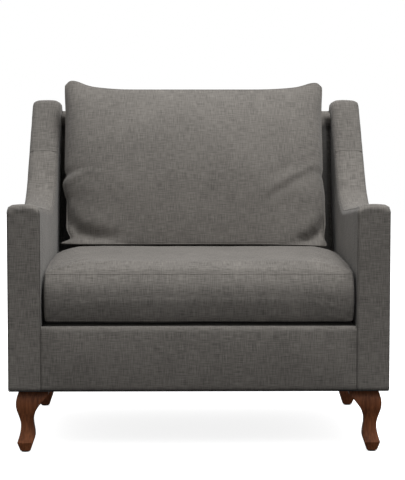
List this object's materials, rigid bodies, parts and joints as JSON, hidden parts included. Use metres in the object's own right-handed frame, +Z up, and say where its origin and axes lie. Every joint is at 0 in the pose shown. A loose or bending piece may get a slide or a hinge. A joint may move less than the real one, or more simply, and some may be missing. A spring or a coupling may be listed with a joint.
{
  "type": "upholstered armchair",
  "caption": "Wide upholstered armchair with square arms that sweep up into wings, a loose box seat cushion, a knife-edge back pillow and dark cabriole legs.",
  "frame": {"origin": "on the floor, below the middle of the overall width and depth", "axes": "+X to the viewer's right when facing the chair, +Y to the back of the chair, +Z up"},
  "size_m": [1.016, 0.958, 0.9898],
  "materials": {
    "woven_upholstery": "matte",
    "leg_mahogany": "satin",
    "frame_pine": "matte",
    "hardboard": "matte",
    "foam": "matte",
    "webbing": "matte",
    "cambric": "matte",
    "plated_steel": "satin",
    "zip_metal": "satin",
    "zip_tape": "matte",
    "glide_plastic": "satin"
  },
  "bodies": {
    "chair_frame": {"front_rail": "frame_pine", "rear_rail": "frame_pine", "left_side_rail": "frame_pine", "right_side_rail": "frame_pine", "corner_blocks": "frame_pine", "seat_stretcher": "frame_pine", "left_front_post": "frame_pine", "right_front_post": "frame_pine", "left_rear_post": "frame_pine", "right_rear_post": "frame_pine", "left_arm_rail": "frame_pine", "right_arm_rail": "frame_pine", "left_tuck_rail": "frame_pine", "right_tuck_rail": "frame_pine", "back_top_rail": "frame_pine", "back_tuck_rail": "frame_pine", "back_center_strut": "frame_pine", "seat_springs": "plated_steel", "spring_clips": "plated_steel", "spring_tie_wires": "plated_steel", "back_webbing": "webbing", "deck_pad": "foam", "deck_cloth": "woven_upholstery", "left_arm_inner_board": "hardboard", "right_arm_inner_board": "hardboard", "left_arm_outer_board": "hardboard", "right_arm_outer_board": "hardboard", "outer_back_board": "hardboard", "left_arm_padding": "foam", "right_arm_padding": "foam", "back_padding": "foam", "front_rail_padding": "foam", "left_arm_inside_cover": "woven_upholstery", "right_arm_inside_cover": "woven_upholstery", "left_arm_outside_cover": "woven_upholstery", "right_arm_outside_cover": "woven_upholstery", "left_arm_front_panel": "woven_upholstery", "right_arm_front_panel": "woven_upholstery", "left_arm_top_strip": "woven_upholstery", "right_arm_top_strip": "woven_upholstery", "front_border": "woven_upholstery", "inside_back_cover": "woven_upholstery", "outside_back_cover": "woven_upholstery", "dust_cover": "cambric", "front_left_leg": "leg_mahogany", "front_right_leg": "leg_mahogany", "rear_left_leg": "leg_mahogany", "rear_right_leg": "leg_mahogany", "leg_bolts": "plated_steel", "tee_nuts": "plated_steel", "glides": "glide_plastic", "frame_screws": "plated_steel"},
    "seat_cushion": {"seat_cushion_core": "foam", "seat_cushion_cover": "woven_upholstery", "seat_zip_chain": "zip_tape"},
    "back_pillow": {"back_pillow_insert": "foam", "back_pillow_cover": "woven_upholstery", "pillow_zip_chain": "zip_tape"},
    "seat_zip_pull": {"seat_zip_slider": "zip_metal"},
    "pillow_zip_pull": {"pillow_zip_slider": "zip_metal"}
  },
  "joints": [
    {"name": "seat_cushion_pull", "type": "slide", "parent": "chair_frame", "child": "seat_cushion", "axis": [0, -1, 0], "range_m": [0, 0.66]},
    {"name": "back_pillow_lift", "type": "slide", "parent": "chair_frame", "child": "back_pillow", "axis": [0, 0.3649, 0.9311], "range_m": [0, 0.47]},
    {"name": "seat_zip_run", "type": "slide", "parent": "seat_cushion", "child": "seat_zip_pull", "axis": [1, 0, 0], "range_m": [0, 0.576]},
    {"name": "pillow_zip_run", "type": "slide", "parent": "back_pillow", "child": "pillow_zip_pull", "axis": [1, 0, 0], "range_m": [0, 0.536]}
  ]
}
